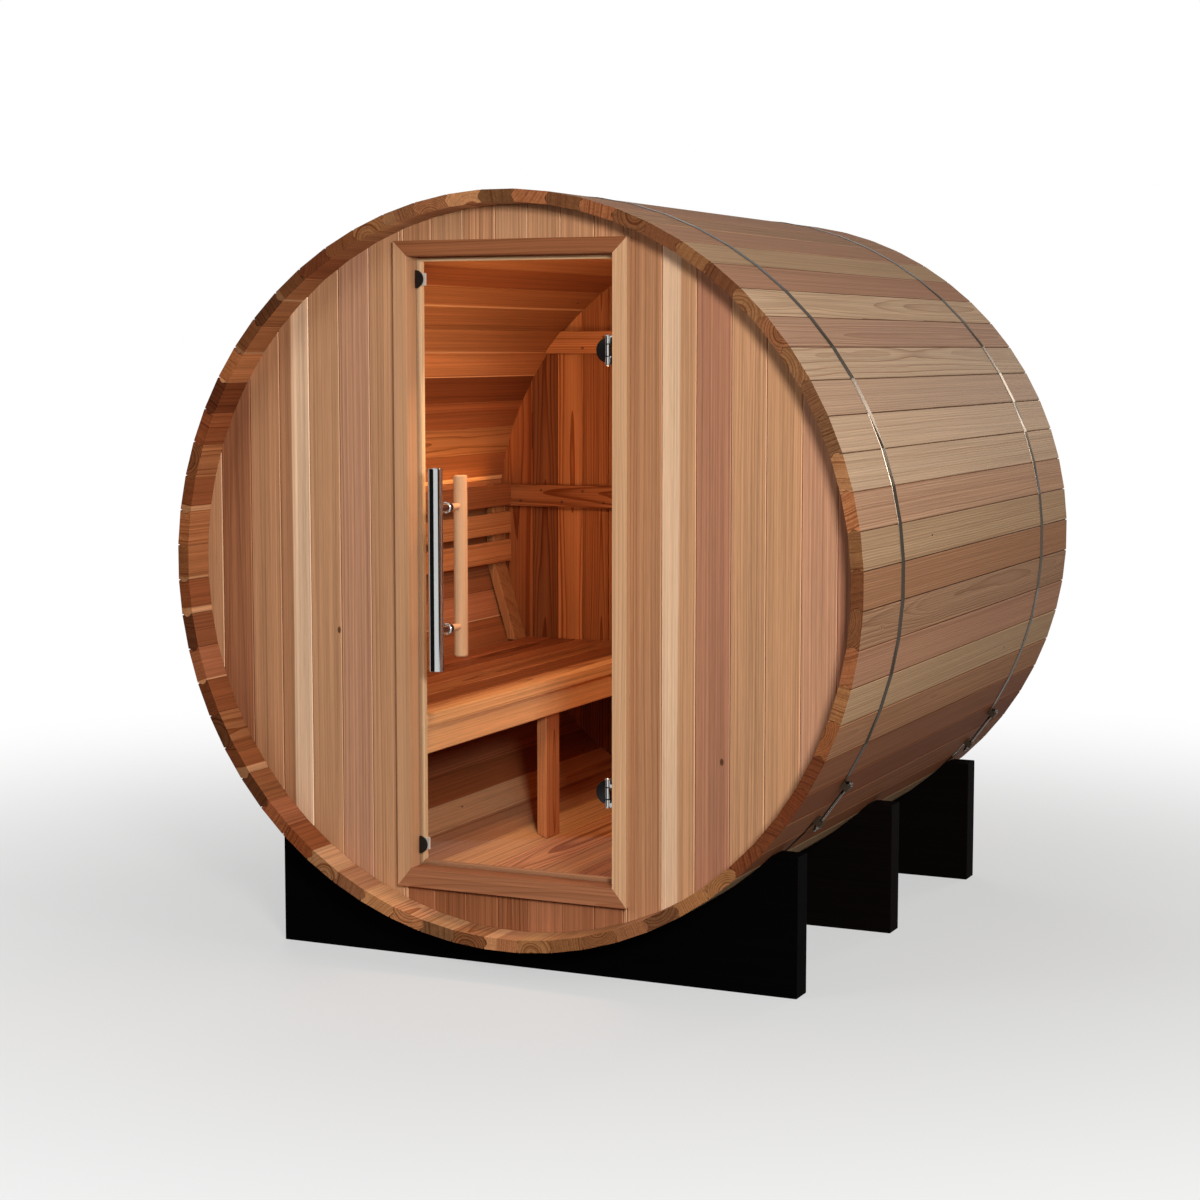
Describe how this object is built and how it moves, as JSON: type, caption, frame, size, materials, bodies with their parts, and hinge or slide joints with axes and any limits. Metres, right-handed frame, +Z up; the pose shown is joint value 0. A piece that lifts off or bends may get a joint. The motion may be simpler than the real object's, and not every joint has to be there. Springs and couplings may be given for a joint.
{
  "type": "barrel sauna",
  "caption": "Round wooden barrel sauna of lengthwise staves on cradles, held by steel bands, with board end walls, a framed glass door and a bench inside.",
  "frame": {"origin": "on the ground, under the middle of the barrel", "axes": "+Y from the door to the back wall along the barrel, +X to the right seen from the door, +Z up"},
  "size_m": [1.803, 1.832, 1.8789],
  "materials": {
    "barrel_staves": "planed, oiled",
    "cradle_paint": "black stain",
    "band_steel": "rolled strip",
    "wall_boards": "planed, oiled",
    "cabin_wood": "planed, bare",
    "door_frame": "planed, oiled",
    "door_glass": "clear",
    "hinge_chrome": "polished",
    "hinge_black": "satin black",
    "handle_chrome": "polished",
    "grip_wood": "turned, sanded",
    "catch_plastic": "moulded"
  },
  "bodies": {
    "shell": {"roof_left_staves": "barrel_staves", "left_upper_staves": "barrel_staves", "left_lower_staves": "barrel_staves", "floor_left_staves": "barrel_staves", "floor_right_staves": "barrel_staves", "right_lower_staves": "barrel_staves", "right_upper_staves": "barrel_staves", "roof_right_staves": "barrel_staves", "front_cradle": "cradle_paint", "middle_cradle": "cradle_paint", "rear_cradle": "cradle_paint", "front_band": "band_steel", "front_band_bolt": "band_steel", "rear_band": "band_steel", "rear_band_bolt": "band_steel", "front_wall_left": "wall_boards", "front_wall_right": "wall_boards", "front_wall_over_door": "wall_boards", "front_wall_under_door": "wall_boards", "back_wall": "wall_boards", "back_wall_upper_rail": "cabin_wood", "back_wall_middle_rail": "cabin_wood", "bench_slats": "cabin_wood", "bench_apron": "cabin_wood", "bench_bearers": "cabin_wood", "bench_leg": "cabin_wood", "backrest_slats": "cabin_wood", "backrest_supports": "cabin_wood", "door_frame_left": "door_frame", "door_frame_right": "door_frame", "door_frame_head": "door_frame", "door_frame_sill": "door_frame", "hinge_leaves": "hinge_chrome", "catch_magnets": "catch_plastic"},
    "door": {"door_glass": "door_glass", "hinge_clamps": "hinge_black", "handle_bar": "handle_chrome", "handle_grip": "grip_wood", "handle_standoffs": "handle_chrome", "catch_plates": "hinge_black"}
  },
  "joints": [
    {"name": "door_hinge", "type": "hinge", "parent": "shell", "child": "door", "pos_m": [0.2425, -0.828, 0.97738], "axis": [0, 0, 1], "range_deg": [0, 110]}
  ]
}
